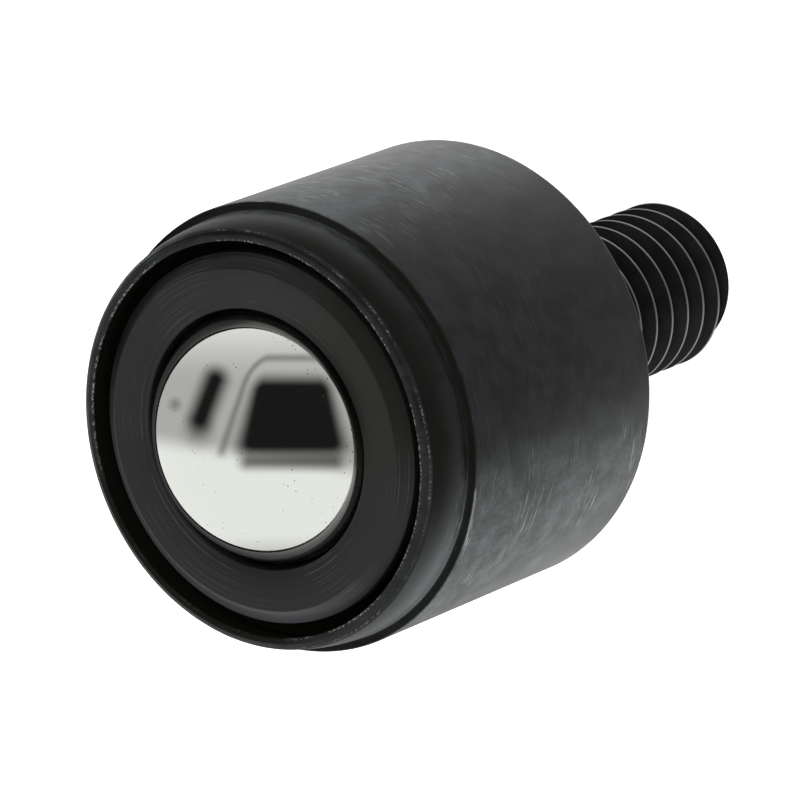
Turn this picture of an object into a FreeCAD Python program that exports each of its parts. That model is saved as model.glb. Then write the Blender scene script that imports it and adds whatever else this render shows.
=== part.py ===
import FreeCAD, Part
import Sketcher
import math
import os

# Stud-mounted ball castor: a turned steel housing with a threaded stud holds a hardened cup,
# in which small bearing balls carry one large load ball. A cap ring under the rolled-in lip
# keeps the ball in. Everything is turned about Z: the load ball is up, the stud points down,
# and the origin is the middle of the flat face that the housing is screwed down on.
# Lengths are in millimetres.

# Driving sizes: name, value, what it is.
SIZES = [
    ("ball_diameter", 9.525, "load ball"),
    ("bearing_ball_diameter", 2.0, "small balls that the load ball rolls on"),
    ("running_clearance", 0.03, "free play on each side of a bearing ball"),
    ("row_gap", 0.06, "free play between neighbouring rows of bearing balls"),
    ("ring_gap", 0.01, "least free play between the balls of one row"),
    ("press_clearance", 0.03, "radial play of the cup and the cap ring in the bore"),
    ("cup_wall", 0.4, "cup wall beside its round seat"),
    ("cup_floor", 0.7, "cup thickness under its round seat"),
    ("cup_rim_drop", 0.3, "from the middle of the load ball down to the cup's rim"),
    ("cup_chamfer", 0.3, "lead on the cup's lower edge"),
    ("housing_wall", 0.7, "housing wall round the cup"),
    ("housing_floor", 2.85, "housing thickness under the cup"),
    ("rear_chamfer", 0.25, "edge of the housing at the face that seats"),
    ("neck_height", 1.9, "from the shoulder up to the lip"),
    ("shoulder_step", 0.32, "how far the neck stands in from the housing's side"),
    ("shoulder_chamfer", 0.08, "broken edge of the shoulder"),
    ("neck_fillet", 0.12, "hollow between the shoulder and the neck"),
    ("lip_height", 1.49, "lip above the flange that it traps"),
    ("lip_roll", 0.23, "how far the lip is rolled in from the neck"),
    ("lip_width", 0.45, "width of the lip's front"),
    ("lip_bevel_width", 0.22, "outer part of that front, pressed down by the rolling"),
    ("lip_bevel_depth", 0.12, "how far it is pressed down"),
    ("stud_diameter", 6.0, "thread's outer diameter"),
    ("stud_length", 12.5, "stud below the face that seats"),
    ("stud_chamfer", 0.35, "end of the stud"),
    ("flange_thickness", 0.9, "flange of the cap ring"),
    ("groove_width", 0.55, "open groove between the lip and the cap ring"),
    ("cap_rise", 1.15, "cap ring's side above its flange"),
    ("cap_bevel_width", 0.5, "bevel round the cap ring's face"),
    ("cap_bevel_height", 0.38, "rise of that bevel"),
    ("cap_dish", 0.1, "fall of the cap ring's face towards its hole"),
    ("cap_hole_inset", 0.16, "how far the hole's edge stands in over the load ball"),
    ("cap_lead_depth", 0.4, "depth of the cone that leads into the hole"),
    ("cap_clearance", 0.06, "free play between the load ball and the cap ring"),
    ("seal_recess", 1.4, "depth of the recess for the seal"),
    ("seal_clearance", 0.055, "free play between the load ball and the seal"),
    ("seal_width", 0.9, "width of the seal's ring"),
    ("seal_thickness", 0.55, "thickness of the seal"),
    ("seal_side_play", 0.05, "radial play of the seal in its recess"),
]

# Places that follow from the driving sizes: name, formula. Radii are taken from the Z axis
# and heights from the face that seats.
PLACES = [
    ("axis_radius", "0"),
    ("seat_height", "0"),
    ("ball_radius", "sizes.ball_diameter / 2"),
    ("bearing_radius", "sizes.bearing_ball_diameter / 2"),
    ("path_radius", "ball_radius + bearing_radius + sizes.running_clearance"),
    ("cup_seat_radius", "path_radius + bearing_radius + sizes.running_clearance"),
    ("cup_radius", "cup_seat_radius + sizes.cup_wall"),
    ("bore_radius", "cup_radius + sizes.press_clearance"),
    ("body_radius", "bore_radius + sizes.housing_wall"),
    ("cup_seat_edge", "sqrt(cup_seat_radius ^ 2 - sizes.cup_rim_drop ^ 2)"),
    ("bore_floor", "sizes.housing_floor"),
    ("cup_seat_bottom", "bore_floor + sizes.cup_floor"),
    ("ball_height", "cup_seat_bottom + cup_seat_radius"),
    ("cup_top", "ball_height - sizes.cup_rim_drop"),
    ("flange_top", "cup_top + sizes.flange_thickness"),
    ("lip_top", "flange_top + sizes.lip_height"),
    ("shoulder_height", "lip_top - sizes.neck_height"),
    ("neck_radius", "body_radius - sizes.shoulder_step"),
    ("lip_radius", "neck_radius - sizes.lip_roll"),
    ("lip_edge_height", "lip_top - sizes.lip_bevel_depth"),
    ("lip_flat_radius", "lip_radius - sizes.lip_bevel_width"),
    ("roll_height", "lip_edge_height - shoulder_height"),
    ("lip_roll_radius", "(roll_height ^ 2 + sizes.lip_roll ^ 2) / (2 * sizes.lip_roll)"),
    ("lip_inner_radius", "lip_radius - sizes.lip_width"),
    ("stud_radius", "sizes.stud_diameter / 2"),
    ("stud_end", "-sizes.stud_length"),
    ("cap_flange_radius", "bore_radius - sizes.press_clearance"),
    ("cap_rim_radius", "lip_inner_radius - sizes.groove_width"),
    ("cap_face_radius", "cap_rim_radius - sizes.cap_bevel_width"),
    ("cap_hole_radius", "ball_radius - sizes.cap_hole_inset"),
    ("cap_rim_top", "flange_top + sizes.cap_rise"),
    ("cap_face_top", "cap_rim_top + sizes.cap_bevel_height"),
    ("cap_hole_top", "cap_face_top - sizes.cap_dish"),
    ("cap_neck_height", "cap_hole_top - sizes.cap_lead_depth"),
    ("cap_land_radius", "ball_radius + sizes.cap_clearance"),
    ("cap_neck_radius", "sqrt(cap_land_radius ^ 2 - (cap_neck_height - ball_height) ^ 2)"),
    ("seal_top", "cup_top + sizes.seal_recess"),
    ("seal_bottom", "seal_top - sizes.seal_thickness"),
    ("seal_inner_radius", "ball_radius + sizes.seal_clearance"),
    ("seal_outer_radius", "seal_inner_radius + sizes.seal_width"),
    ("recess_radius", "seal_outer_radius + sizes.seal_side_play"),
    ("cap_land_edge", "sqrt(cap_land_radius ^ 2 - (seal_top - ball_height) ^ 2)"),
]

EDGE_TOLERANCE = 1e-4

doc = FreeCAD.newDocument("ball_castor")


def add_sizes():
    """Put the driving sizes in their sheet, as plain numbers with names."""
    sheet = doc.addObject("Spreadsheet::Sheet", "sizes")
    for row, (name, value, meaning) in enumerate(SIZES, start=1):
        sheet.set(f"A{row}", name)
        sheet.set(f"B{row}", str(value))
        sheet.setAlias(f"B{row}", name)
        sheet.set(f"C{row}", meaning)
    doc.recompute()
    return sheet


def add_places():
    """Put the places that follow from the sizes in a sheet of their own, as formulas."""
    sheet = doc.addObject("Spreadsheet::Sheet", "places")
    for row, (name, formula) in enumerate(PLACES, start=1):
        sheet.set(f"A{row}", name)
        sheet.set(f"B{row}", f"={formula}")
        sheet.setAlias(f"B{row}", name)
        doc.recompute()
    return sheet


sizes = add_sizes()
places = add_places()


def place(name):
    """Return the number that the sheet of places gives for a name."""
    return float(places.get(name))


def origin_feature(body, role):
    """Return one plane or axis of a body's own origin."""
    return next(item for item in body.Origin.OriginFeatures if item.Role == role)


def anticlockwise_arc(start, end, radius):
    """Return the short arc of a radius that runs anticlockwise from start to end."""
    chord = end - start
    to_centre = FreeCAD.Vector(-chord.y, chord.x, 0).normalize()
    centre = (start + end) / 2 + to_centre * math.sqrt(radius ** 2 - (chord.Length / 2) ** 2)
    first = math.atan2(start.y - centre.y, start.x - centre.x)
    last = math.atan2(end.y - centre.y, end.x - centre.x)
    if last < first:
        last += 2 * math.pi
    return Part.ArcOfCircle(Part.Circle(centre, FreeCAD.Vector(0, 0, 1), radius), first, last)


def bind(sketch, kind, geometry, vertex, name):
    """Add a dimension to a sketch and bind it to a place."""
    if vertex is None:
        constraint = Sketcher.Constraint(kind, geometry, place(name))
    else:
        constraint = Sketcher.Constraint(kind, geometry, vertex, place(name))
    index = sketch.addConstraint(constraint)
    sketch.setExpression(f"Constraints[{index}]", f"places.{name}")


def draw_section(body, name, corners, bulges, hollows):
    """Draw a closed half section whose corners are bound to the sheet of places.

    corners lists pairs of names, radius and height, in anticlockwise order. bulges and
    hollows give, for each corner that an arc starts from, the name of the arc's radius: a
    bulge curves out of the material and a hollow curves into it.
    """
    sketch = body.newObject("Sketcher::SketchObject", name)
    sketch.AttachmentSupport = (origin_feature(body, "XZ_Plane"), [""])
    sketch.MapMode = "FlatFace"
    points = [FreeCAD.Vector(place(radius), place(height), 0) for radius, height in corners]
    first_vertex = []
    for number, corner in enumerate(corners):
        start = points[number]
        end = points[(number + 1) % len(points)]
        if corner in bulges:
            sketch.addGeometry(anticlockwise_arc(start, end, place(bulges[corner])), False)
        elif corner in hollows:
            sketch.addGeometry(anticlockwise_arc(end, start, place(hollows[corner])), False)
        else:
            sketch.addGeometry(Part.LineSegment(start, end), False)
        first_vertex.append(2 if corner in hollows else 1)
    for number, corner in enumerate(corners):
        following = (number + 1) % len(corners)
        last_vertex = 3 - first_vertex[number]
        sketch.addConstraint(Sketcher.Constraint(
            "Coincident", number, last_vertex, following, first_vertex[following]))
        radius, height = corner
        bind(sketch, "DistanceX", number, first_vertex[number], radius)
        bind(sketch, "DistanceY", number, first_vertex[number], height)
    for corner, radius in {**bulges, **hollows}.items():
        bind(sketch, "Radius", corners.index(corner), None, radius)
    sketch.Visibility = False
    return sketch


def turn(label, corners, bulges={}, hollows={}):
    """Make a body by turning a half section once round the Z axis."""
    body = doc.addObject("PartDesign::Body", label)
    body.Label = label
    section = draw_section(body, f"{label}_section", corners, bulges, hollows)
    revolution = body.newObject("PartDesign::Revolution", f"{label}_turned")
    revolution.Profile = section
    revolution.ReferenceAxis = (origin_feature(body, "Z_Axis"), [""])
    revolution.Angle = 360
    doc.recompute()
    return body


def round_edge(shape, radius, height):
    """Return the name of the level circular edge that has this radius and height."""
    for number, edge in enumerate(shape.Edges, start=1):
        curve = edge.Curve
        if not isinstance(curve, Part.Circle):
            continue
        radius_error = abs(curve.Radius - place(radius))
        height_error = abs(curve.Center.z - place(height))
        if max(radius_error, height_error) < EDGE_TOLERANCE:
            return f"Edge{number}"
    raise ValueError(f"no edge at {radius}, {height}")


def dress_edge(body, kind, dimension, size, corner):
    """Add a chamfer or a fillet of a driving size to the edge that a corner has swept."""
    base = body.Tip
    feature = body.newObject(f"PartDesign::{kind}", size)
    feature.Base = (base, [round_edge(base.Shape, *corner)])
    feature.setExpression(dimension, f"sizes.{size}")
    doc.recompute()


def make_housing():
    """Turn the housing in one piece with its stud, its bore and its rolled-in lip."""
    stud_tip = ("stud_radius", "stud_end")
    seat_rim = ("body_radius", "seat_height")
    shoulder = ("body_radius", "shoulder_height")
    neck_root = ("neck_radius", "shoulder_height")
    corners = [
        ("axis_radius", "stud_end"),
        stud_tip,
        ("stud_radius", "seat_height"),
        seat_rim,
        shoulder,
        neck_root,
        ("lip_radius", "lip_edge_height"),
        ("lip_flat_radius", "lip_top"),
        ("lip_inner_radius", "lip_top"),
        ("bore_radius", "flange_top"),
        ("bore_radius", "bore_floor"),
        ("axis_radius", "bore_floor"),
    ]
    housing = turn("housing", corners, bulges={neck_root: "lip_roll_radius"})
    dress_edge(housing, "Chamfer", "Size", "stud_chamfer", stud_tip)
    dress_edge(housing, "Chamfer", "Size", "rear_chamfer", seat_rim)
    dress_edge(housing, "Chamfer", "Size", "shoulder_chamfer", shoulder)
    dress_edge(housing, "Fillet", "Radius", "neck_fillet", neck_root)
    return housing


def make_ball_cup():
    """Turn the hardened cup, whose round seat lies about the middle of the load ball."""
    lower_edge = ("cup_radius", "bore_floor")
    seat_edge = ("cup_seat_edge", "cup_top")
    corners = [
        ("axis_radius", "bore_floor"),
        lower_edge,
        ("cup_radius", "cup_top"),
        seat_edge,
        ("axis_radius", "cup_seat_bottom"),
    ]
    cup = turn("ball_cup", corners, hollows={seat_edge: "cup_seat_radius"})
    dress_edge(cup, "Chamfer", "Size", "cup_chamfer", lower_edge)
    return cup


def make_cap_ring():
    """Turn the ring that the lip traps on the cup's rim and that keeps the load ball in."""
    hole_neck = ("cap_neck_radius", "cap_neck_height")
    corners = [
        ("recess_radius", "cup_top"),
        ("cap_flange_radius", "cup_top"),
        ("cap_flange_radius", "flange_top"),
        ("cap_rim_radius", "flange_top"),
        ("cap_rim_radius", "cap_rim_top"),
        ("cap_face_radius", "cap_face_top"),
        ("cap_hole_radius", "cap_hole_top"),
        hole_neck,
        ("cap_land_edge", "seal_top"),
        ("recess_radius", "seal_top"),
    ]
    return turn("cap_ring", corners, hollows={hole_neck: "cap_land_radius"})


def make_felt_seal():
    """Make the felt washer that lies in the cap ring's recess and wipes the load ball."""
    corners = [
        ("seal_inner_radius", "seal_bottom"),
        ("seal_outer_radius", "seal_bottom"),
        ("seal_outer_radius", "seal_top"),
        ("seal_inner_radius", "seal_top"),
    ]
    return turn("felt_seal", corners)


def make_load_ball():
    """Make the large ball that carries the load."""
    ball = doc.addObject("Part::Sphere", "load_ball")
    ball.Label = "load_ball"
    ball.setExpression("Radius", "places.ball_radius")
    ball.setExpression("Placement.Base.z", "places.ball_height")
    return ball


def row_tilt():
    """Return the angle, seen from the load ball, between neighbouring rows of small balls."""
    spacing = place("bearing_radius") * 2 + float(sizes.row_gap)
    return 2 * math.degrees(math.asin(spacing / (2 * place("path_radius"))))


def balls_in_row(tilt):
    """Return how many small balls fit side by side in the row at this tilt."""
    row_radius = place("path_radius") * math.sin(math.radians(tilt))
    spacing = place("bearing_radius") * 2 + float(sizes.ring_gap)
    if row_radius < spacing / 2:
        return 1
    return int(math.pi / math.asin(spacing / (2 * row_radius)))


def make_bearing_ball(number, tilt, turned):
    """Make one small ball, touching the cup, at its tilt from straight down."""
    ball = doc.addObject("Part::Sphere", f"bearing_ball_{number:02d}")
    ball.Label = ball.Name
    ball.setExpression("Radius", "places.bearing_radius")
    reach = f"places.path_radius * sin({tilt:.4f} deg)"
    ball.setExpression("Placement.Base.x", f"{reach} * cos({turned:.4f} deg)")
    ball.setExpression("Placement.Base.y", f"{reach} * sin({turned:.4f} deg)")
    depth = f"places.path_radius * cos({tilt:.4f} deg)"
    ball.setExpression("Placement.Base.z", f"places.ball_height - {depth}")
    return ball


def make_bearing_balls():
    """Fill the gap between the load ball and the cup with rows of small balls."""
    balls = []
    tilt = 0.0
    highest = place("cup_top") - place("bearing_radius")
    while place("ball_height") - place("path_radius") * math.cos(math.radians(tilt)) < highest:
        count = balls_in_row(tilt)
        for index in range(count):
            balls.append(make_bearing_ball(len(balls) + 1, tilt, 360 * index / count))
        tilt += row_tilt()
    return balls


def check_document():
    """Stop if an object failed or a piece has no valid shape."""
    for item in doc.Objects:
        if {"Invalid", "Error"} & set(item.State):
            raise RuntimeError(f"{item.Name} failed: {item.State}")
    for piece in pieces:
        if piece.Shape.isNull() or not piece.Shape.isValid():
            raise RuntimeError(f"{piece.Label} has no valid shape")


def write_pieces():
    """Write each piece to a file of its own, named after the piece."""
    os.makedirs("parts", exist_ok=True)
    for piece in pieces:
        piece.Shape.exportStep(f"parts/{piece.Label}.step")


pieces = [
    make_housing(),
    make_ball_cup(),
    make_cap_ring(),
    make_felt_seal(),
    make_load_ball(),
    *make_bearing_balls(),
]
doc.recompute()
check_document()
write_pieces()
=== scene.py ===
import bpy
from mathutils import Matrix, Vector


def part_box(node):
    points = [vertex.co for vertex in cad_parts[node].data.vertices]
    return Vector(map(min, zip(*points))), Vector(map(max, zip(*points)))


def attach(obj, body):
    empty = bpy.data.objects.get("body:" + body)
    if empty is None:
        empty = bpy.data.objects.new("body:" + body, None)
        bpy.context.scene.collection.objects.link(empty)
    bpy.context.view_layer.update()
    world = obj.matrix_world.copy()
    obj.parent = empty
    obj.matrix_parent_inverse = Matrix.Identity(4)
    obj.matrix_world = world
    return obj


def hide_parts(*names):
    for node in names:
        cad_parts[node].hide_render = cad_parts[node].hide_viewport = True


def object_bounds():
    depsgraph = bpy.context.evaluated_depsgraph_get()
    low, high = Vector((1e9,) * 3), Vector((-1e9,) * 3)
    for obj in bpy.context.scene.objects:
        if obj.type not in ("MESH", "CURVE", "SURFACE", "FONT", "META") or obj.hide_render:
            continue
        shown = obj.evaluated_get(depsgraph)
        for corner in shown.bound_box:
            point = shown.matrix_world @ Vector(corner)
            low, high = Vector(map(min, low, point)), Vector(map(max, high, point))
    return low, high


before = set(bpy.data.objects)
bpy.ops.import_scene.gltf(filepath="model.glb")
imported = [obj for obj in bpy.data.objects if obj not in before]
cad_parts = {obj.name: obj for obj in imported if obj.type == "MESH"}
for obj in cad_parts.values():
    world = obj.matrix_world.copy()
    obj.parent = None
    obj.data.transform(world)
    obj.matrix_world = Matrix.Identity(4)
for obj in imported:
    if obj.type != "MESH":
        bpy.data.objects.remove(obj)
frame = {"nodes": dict(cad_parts)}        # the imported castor: the fixed frame that everything here is built round
CAD_BOX = [list(corner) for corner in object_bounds()]

import functools
import logging
import math
from dataclasses import dataclass, field
from enum import Enum
from typing import Any, Callable, Iterable

import bpy
from mathutils import Matrix, Vector

# The castor stands on its stud with the load ball up: Z is the turning axis. The photograph
# shows it lying down, so its camera looks down steeply and is rolled on its side.
# Sizes in the classes are millimetres, and Blender's are metres.

log = logging.getLogger("ball_castor")

MM = 0.001
WELD = 1e-6
ROUNDING_STEPS = 4
TURN_STEPS = 256

Node = bpy.types.Node
Socket = bpy.types.NodeSocket
Tree = bpy.types.NodeTree
Piece = bpy.types.Object
Steps = tuple[float, ...]    # where a fade starts and ends, then its values there if not 0 and 1
Sector = tuple[float, float, float]    # middle, half width and blur, in degrees from -Y to +X


class Body(Enum):
    """The rigid bodies of the castor that pieces ride on."""

    HOUSING = "housing"
    LOAD_BALL = "load_ball"


class Slot(Enum):
    """The names of the record's material slots; the new pieces' finishes are made here without them."""

    HOUSING = "black_oxide_steel"
    CAP = "blued_cap_steel"
    BALL = "polished_ball_steel"


def linear(code: str) -> tuple[float, float, float, float]:
    """Turn an sRGB hex colour into linear red, green, blue and alpha.

    Args:
        code: Six hex digits after a hash sign.

    Returns:
        The linear colour, opaque.
    """
    channels = [int(code[place:place + 2], 16) / 255 for place in (1, 3, 5)]
    return (*(c / 12.92 if c <= 0.04045 else ((c + 0.055) / 1.055) ** 2.4
              for c in channels), 1.0)


def add_node(tree: Tree, kind: str, feeds: dict[int | str, Any] | None = None,
             **settings: Any) -> Node:
    """Add one node with its settings, its values and its links.

    Args:
        tree: The node tree that gets the node.
        kind: Blender's name of the node's type, without "ShaderNode".
        feeds: For an input's name or number, a value or the socket that feeds it.
        **settings: Properties of the node itself.

    Returns:
        The new node.
    """
    node = tree.nodes.new(f"ShaderNode{kind}")
    for name, value in settings.items():
        setattr(node, name, value)
    for key, value in (feeds or {}).items():
        if isinstance(value, Socket):
            tree.links.new(value, node.inputs[key])
        else:
            node.inputs[key].default_value = value
    return node


def tree_of(values: Iterable[Any]) -> Tree:
    """Return the node tree that the first socket among some values belongs to."""
    return next(value.id_data for value in values if isinstance(value, Socket))


def calc(operation: str, *values: Socket | float) -> Socket:
    """Work out one number from sockets and numbers.

    Args:
        operation: The Math node's operation.
        *values: Its inputs in order.

    Returns:
        The socket that gives the result.
    """
    feeds = dict(enumerate(values))
    return add_node(tree_of(values), "Math", feeds, operation=operation).outputs[0]


def product(*factors: Socket | float) -> Socket:
    """Multiply any number of sockets and numbers."""
    return functools.reduce(lambda one, other: calc("MULTIPLY", one, other), factors)


def largest(*values: Socket | float) -> Socket:
    """Return the largest of some sockets and numbers."""
    return functools.reduce(lambda one, other: calc("MAXIMUM", one, other), values)


def apart(value: Socket, middle: float) -> Socket:
    """Return how far a value lies from a number, on either side."""
    return calc("ABSOLUTE", calc("SUBTRACT", value, middle))


def fade(value: Socket, start: float, end: float,
         low: float = 0.0, high: float = 1.0, edge: float = 0.0) -> Socket:
    """Turn a value into a smooth step.

    Args:
        value: What the step follows.
        start: Where the step leaves low.
        end: Where it reaches high.
        low: The result before the step.
        high: The result after it.
        edge: What start and end are counted from.

    Returns:
        The socket that gives the step.
    """
    feeds = {"Value": value, "From Min": edge + start, "From Max": edge + end,
             "To Min": low, "To Max": high}
    step = add_node(value.id_data, "MapRange", feeds, interpolation_type="SMOOTHSTEP")
    return step.outputs["Result"]


def blend(share: Socket | float, first: Socket | str, second: Socket | str) -> Socket:
    """Mix two colours.

    Args:
        share: How much of the second colour.
        first: Hex colour or socket.
        second: Hex colour or socket.

    Returns:
        The mixed colour.
    """
    feeds = {0: share, 6: first, 7: second}
    tree = tree_of(feeds.values())
    feeds = {key: linear(value) if isinstance(value, str) else value
             for key, value in feeds.items()}
    return add_node(tree, "Mix", feeds, data_type="RGBA").outputs[2]


@dataclass(frozen=True)
class PhotoCamera:
    """Where the photograph was taken from, as a camera that orbits the lip of the housing.

    Lengths are in millimetres and angles in degrees.
    """

    azimuth: float = 0.23
    elevation: float = 50.96
    roll: float = -111.26
    distance: float = 257.3
    lip_left_of_middle: float = 4.977
    lip_below_middle: float = 1.391
    lens: float = 339.73
    sensor: float = 36.0
    clip_start: float = 10.0
    clip_end: float = 100000.0

    def turn(self) -> Matrix:
        """Return the camera's turn: its columns point right, up and back."""
        azimuth, elevation = math.radians(self.azimuth), math.radians(self.elevation)
        back = Vector((math.sin(azimuth) * math.cos(elevation),
                       -math.cos(azimuth) * math.cos(elevation), math.sin(elevation)))
        level = Vector((0, 0, 1)).cross(back).normalized()
        raised = back.cross(level)
        angle = math.radians(self.roll)
        right = level * math.cos(angle) + raised * math.sin(angle)
        up = back.cross(right)
        return Matrix((right, up, back)).transposed()

    def place(self, lip_height: float) -> Piece:
        """Add the camera and make it the scene's own.

        Args:
            lip_height: Height of the housing's lip above the frame's origin, in metres.

        Returns:
            The camera object.
        """
        turn = self.turn()
        right, up, back = (turn.col[i] for i in range(3))
        offset = right * self.lip_left_of_middle + up * self.lip_below_middle
        spot = Vector((0, 0, lip_height)) + (offset + back * self.distance) * MM
        data = bpy.data.cameras.new("photo_camera")
        data.lens = self.lens
        data.sensor_width = self.sensor
        data.clip_start = self.clip_start * MM
        data.clip_end = self.clip_end * MM
        camera = bpy.data.objects.new("photo_camera", data)
        camera.matrix_world = Matrix.Translation(spot) @ turn.to_4x4()
        bpy.context.scene.collection.objects.link(camera)
        bpy.context.scene.camera = camera
        return camera


@dataclass(frozen=True)
class Surroundings:
    """The white studio that the steel reflects, laid out as the polished ball shows it.

    Places are in ball units: across and up from the middle of the load ball as the photograph
    shows it, as shares of its radius. A direction that the ball reflects at such a place gets
    the brightness of that place.
    """

    tent: str = "#b4b4b1"
    tent_top: str = "#fafafa"
    tent_height: Steps = (0.3, 0.95)
    side: str = "#a2a29b"
    side_middle: float = 0.62
    side_width: float = 0.3
    foot: Steps = (-0.95, -0.75, 0.6, 0.0)
    table: str = "#f0f1ee"
    opening: str = "#1a1a1a"
    table_edge: float = -0.25
    table_slope: float = -0.15
    table_rise: float = 0.8
    table_rise_from: float = 0.5
    table_softness: float = 0.09
    opening_middle: tuple[float, float] = (0.015, 0.075)
    opening_half: tuple[float, float] = (0.24, 0.18)
    opening_round: float = 0.1
    opening_taper: float = 0.8
    opening_softness: float = 0.068
    slit_middle: tuple[float, float] = (-0.588, 0.192)
    slit_half: tuple[float, float] = (0.0, 0.15)
    slit_round: float = 0.085
    slit_tilt: float = 20.7
    slit_softness: float = 0.068
    tail: str = "#6f6f6b"
    tail_middle: tuple[float, float] = (-0.655, -0.03)
    tail_size: float = 0.17
    blot_middle: tuple[float, float] = (-0.825, 0.156)
    blot_size: float = 0.075
    smudge_share: float = 0.7
    frame: str = "#60605c"
    frame_gap: float = 0.16
    frame_rise: float = 0.06
    frame_width: float = 0.035
    frame_blur: float = 0.05
    frame_share: float = 0.9
    shade: str = "#4c4c4a"
    shade_drop: float = 0.045
    shade_half: float = 0.05
    shade_share: float = 0.85

    def box(self, across: Socket, up: Socket, half: tuple[float, float],
            rounding: float, softness: float) -> Socket:
        """Return how much a place lies in a box with rounded corners.

        Args:
            across: Distance across from the box's middle.
            up: Distance up from its middle.
            half: Half its width and height inside the rounding.
            rounding: Radius of its corners.
            softness: Width of its blurred edge.

        Returns:
            1 inside, 0 outside.
        """
        outside = [largest(calc("SUBTRACT", calc("ABSOLUTE", side), reach), 0.0)
                   for side, reach in zip((across, up), half)]
        squares = [product(side, side) for side in outside]
        distance = calc("SQRT", calc("ADD", *squares))
        return fade(distance, rounding - softness, rounding + softness, 1.0, 0.0)

    def light_tent(self, across: Socket, above: Socket) -> Socket:
        """Add the light tent, brighter overhead and dimmer at one side, and the white table.

        Args:
            across: Place across the ball.
            above: Place up the ball.

        Returns:
            The colour of tent and table.
        """
        height = fade(above, *self.tent_height)
        colour = blend(height, self.tent, self.tent_top)
        off = apart(across, self.side_middle)
        dim = product(fade(off, 0.0, self.side_width, 1.0, 0.0),
                      fade(above, 0.0, self.side_middle, 1.0, 0.0))
        colour = blend(dim, colour, self.side)
        past = largest(calc("SUBTRACT", across, self.table_rise_from), 0.0)
        edge = calc("MULTIPLY_ADD", across, self.table_slope, self.table_edge)
        edge = calc("MULTIPLY_ADD", past, self.table_rise, edge)
        under = calc("SUBTRACT", edge, above)
        colour = blend(fade(under, -self.table_softness, self.table_softness),
                       colour, self.table)
        return blend(fade(above, *self.foot), colour, self.side)

    def trim_opening(self, colour: Socket, aside: Socket, over: Socket) -> Socket:
        """Add the grey seam of the tent round the opening and the shade under it.

        Args:
            colour: What lies behind them.
            aside: Distance across from the opening's middle, its taper taken out.
            over: Distance up from its middle.

        Returns:
            The colour with seam and shade.
        """
        half = (self.opening_half[0], self.opening_half[1] + self.frame_rise)
        outer, inner = (self.box(aside, over, half, gap, self.frame_width)
                        for gap in (self.frame_gap + self.frame_width, self.frame_gap))
        foot = -self.opening_half[1] - self.opening_round
        upper = fade(over, -self.frame_blur, self.frame_blur, 0.0, self.frame_share,
                     edge=foot)
        left = fade(aside, half[0], half[0] + self.frame_gap, 1.0, 0.0)
        seam = product(calc("SUBTRACT", outer, inner), upper, left)
        colour = blend(seam, colour, self.frame)
        low = calc("SUBTRACT", over, foot - self.shade_drop)
        shade = self.box(aside, low, (half[0], 0.0), self.shade_half, self.shade_half)
        return blend(product(shade, self.shade_share), colour, self.shade)

    def shifted(self, across: Socket, above: Socket,
                middle: tuple[float, float]) -> list[Socket]:
        """Return how far across and up a place lies from a middle."""
        return [calc("SUBTRACT", place, start)
                for place, start in zip((across, above), middle)]

    def smudge(self, colour: Socket, across: Socket, above: Socket,
               middle: tuple[float, float], size: float) -> Socket:
        """Add a soft grey patch, as a fold of the tent leaves in the reflection.

        Args:
            colour: What lies behind it.
            across: Place across the ball.
            above: Place up the ball.
            middle: The patch's middle.
            size: Its radius.

        Returns:
            The colour with the patch.
        """
        patch = self.box(*self.shifted(across, above, middle), (0.0, 0.0),
                         size / 2, size / 2)
        return blend(product(patch, self.smudge_share), colour, self.tail)

    def dress(self, camera: PhotoCamera) -> None:
        """Give the scene its world.

        Args:
            camera: The camera whose view of the ball the layout follows.
        """
        world = bpy.data.worlds.new("studio")
        bpy.context.scene.world = world
        world.use_nodes = True
        tree = world.node_tree
        tree.nodes.clear()
        ray = add_node(tree, "TexCoord").outputs["Generated"]
        right, up, back = (camera.turn().col[i] for i in range(3))
        halfway = add_node(tree, "VectorMath", {0: ray, 1: back}, operation="ADD").outputs[0]
        normal = add_node(tree, "VectorMath", {0: halfway}, operation="NORMALIZE").outputs[0]
        across, above = (
            add_node(tree, "VectorMath", {0: normal, 1: axis},
                     operation="DOT_PRODUCT").outputs["Value"]
            for axis in (right, up))
        colour = self.light_tent(across, above)
        aside, over = self.shifted(across, above, self.opening_middle)
        narrowing = calc("MULTIPLY_ADD", over, -self.opening_taper, 1.0)
        straightened = calc("DIVIDE", aside, narrowing)
        colour = self.trim_opening(colour, straightened, over)
        opening = self.box(straightened, over,
                           self.opening_half, self.opening_round, self.opening_softness)
        colour = blend(opening, colour, self.opening)
        for middle, size in ((self.tail_middle, self.tail_size),
                             (self.blot_middle, self.blot_size)):
            colour = self.smudge(colour, across, above, middle, size)
        tilt = math.radians(self.slit_tilt)
        aside, over = self.shifted(across, above, self.slit_middle)
        turned_aside = calc("SUBTRACT", product(aside, math.cos(tilt)),
                            product(over, math.sin(tilt)))
        turned_over = calc("ADD", product(aside, math.sin(tilt)),
                           product(over, math.cos(tilt)))
        slit = self.box(turned_aside, turned_over, self.slit_half, self.slit_round,
                        self.slit_softness)
        colour = blend(slit, colour, self.opening)
        seen = add_node(tree, "LightPath").outputs["Is Camera Ray"]
        colour = blend(seen, colour, "#ffffff")
        background = add_node(tree, "Background", {"Color": colour, "Strength": 1.0})
        add_node(tree, "OutputWorld", {"Surface": background.outputs[0]})


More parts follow.
